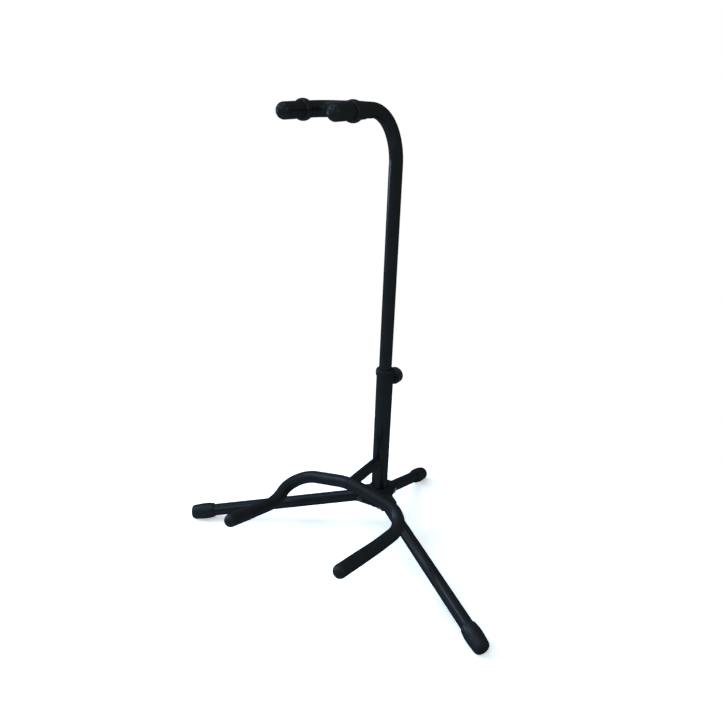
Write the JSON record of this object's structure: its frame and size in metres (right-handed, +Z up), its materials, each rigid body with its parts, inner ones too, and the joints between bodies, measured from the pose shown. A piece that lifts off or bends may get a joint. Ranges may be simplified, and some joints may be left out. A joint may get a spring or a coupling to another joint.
{
  "type": "guitar stand",
  "caption": "Black tubular guitar stand with a telescopic mast, folding tripod legs, a foam-sleeved cradle and a foam-sleeved neck yoke with sliding rings.",
  "frame": {"origin": "middle of the footprint's rectangle, on the floor", "axes": "+Z up the mast; the cradle and the yoke face -Y; +X to the right for someone facing +Y"},
  "size_m": [0.5144, 0.418, 0.6388],
  "materials": {
    "black_paint": "satin black powder coat on steel tube",
    "black_foam": "matt black foam rubber with a fine skin",
    "black_rubber": "moulded black rubber",
    "black_plastic": "moulded black plastic, lightly polished",
    "zinc_plate": "zinc-plated steel fastener"
  },
  "bodies": {
    "base": {"hub_collar": "black_plastic", "mast_lower_tube": "black_paint", "mast_base_plug": "black_plastic", "mast_collar_bushing": "black_plastic", "knob_boss": "black_paint", "leg_rivet_front_right": "zinc_plate", "leg_rivet_front_left": "zinc_plate", "leg_rivet_rear": "zinc_plate", "cradle_tube": "black_paint", "cradle_sleeve_right": "black_foam", "cradle_sleeve_left": "black_foam", "cradle_strut": "black_paint", "strut_insert": "zinc_plate", "strut_washer": "zinc_plate", "strut_bolt": "zinc_plate"},
    "leg_front_right": {"leg_tube_front_right": "black_paint", "foot_cap_front_right": "black_rubber"},
    "leg_front_left": {"leg_tube_front_left": "black_paint", "foot_cap_front_left": "black_rubber"},
    "leg_rear": {"leg_tube_rear": "black_paint", "foot_cap_rear": "black_rubber"},
    "clamp_screw": {"knob_screw": "zinc_plate"},
    "clamp_knob": {"height_knob": "black_plastic"},
    "mast_guide": {"upper_tube_guide": "black_plastic"},
    "mast_upper": {"mast_upper_tube": "black_paint", "yoke_tube": "black_paint", "yoke_sleeve_right": "black_foam", "yoke_sleeve_left": "black_foam"},
    "ring_right": {"yoke_ring_right": "black_rubber"},
    "ring_left": {"yoke_ring_left": "black_rubber"}
  },
  "joints": [
    {"name": "leg_fold_front_right", "type": "hinge", "parent": "base", "child": "leg_front_right", "pos_m": [0.02591, 0.02864, 0.04946], "axis": [0.549, 0.8358, 0], "range_deg": [0, 80]},
    {"name": "leg_fold_front_left", "type": "hinge", "parent": "base", "child": "leg_front_left", "pos_m": [-0.02591, 0.02864, 0.04946], "axis": [0.549, -0.8358, 0], "range_deg": [0, 80]},
    {"name": "leg_fold_rear", "type": "hinge", "parent": "base", "child": "leg_rear", "pos_m": [0, 0.07666, 0.04538], "axis": [-1, 0, 0], "range_deg": [0, 72]},
    {"name": "knob_screw_travel", "type": "slide", "parent": "base", "child": "clamp_screw", "axis": [0, 1, 0], "range_m": [0, 0.003]},
    {"name": "knob_turn", "type": "hinge", "parent": "clamp_screw", "child": "clamp_knob", "pos_m": [0, 0.06676, 0.25], "axis": [0, 1, 0], "range_deg": [0, 1080]},
    {"name": "mast_height", "type": "slide", "parent": "base", "child": "mast_guide", "axis": [0, 0, 1], "range_m": [-0.04, 0.06]},
    {"name": "mast_swivel", "type": "hinge", "parent": "mast_guide", "child": "mast_upper", "pos_m": [0, 0.04566, 0.17], "axis": [0, 0, 1], "continuous": true},
    {"name": "ring_right_slide", "type": "slide", "parent": "mast_upper", "child": "ring_right", "axis": [0, -0.9986, -0.0523], "range_m": [-0.006, 0.022]},
    {"name": "ring_left_slide", "type": "slide", "parent": "mast_upper", "child": "ring_left", "axis": [0, -0.9986, -0.0523], "range_m": [-0.006, 0.022]}
  ],
  "couplings": [
    {"joint": "knob_screw_travel", "follows": "knob_turn", "m_per_rad": 0.00015915}
  ]
}
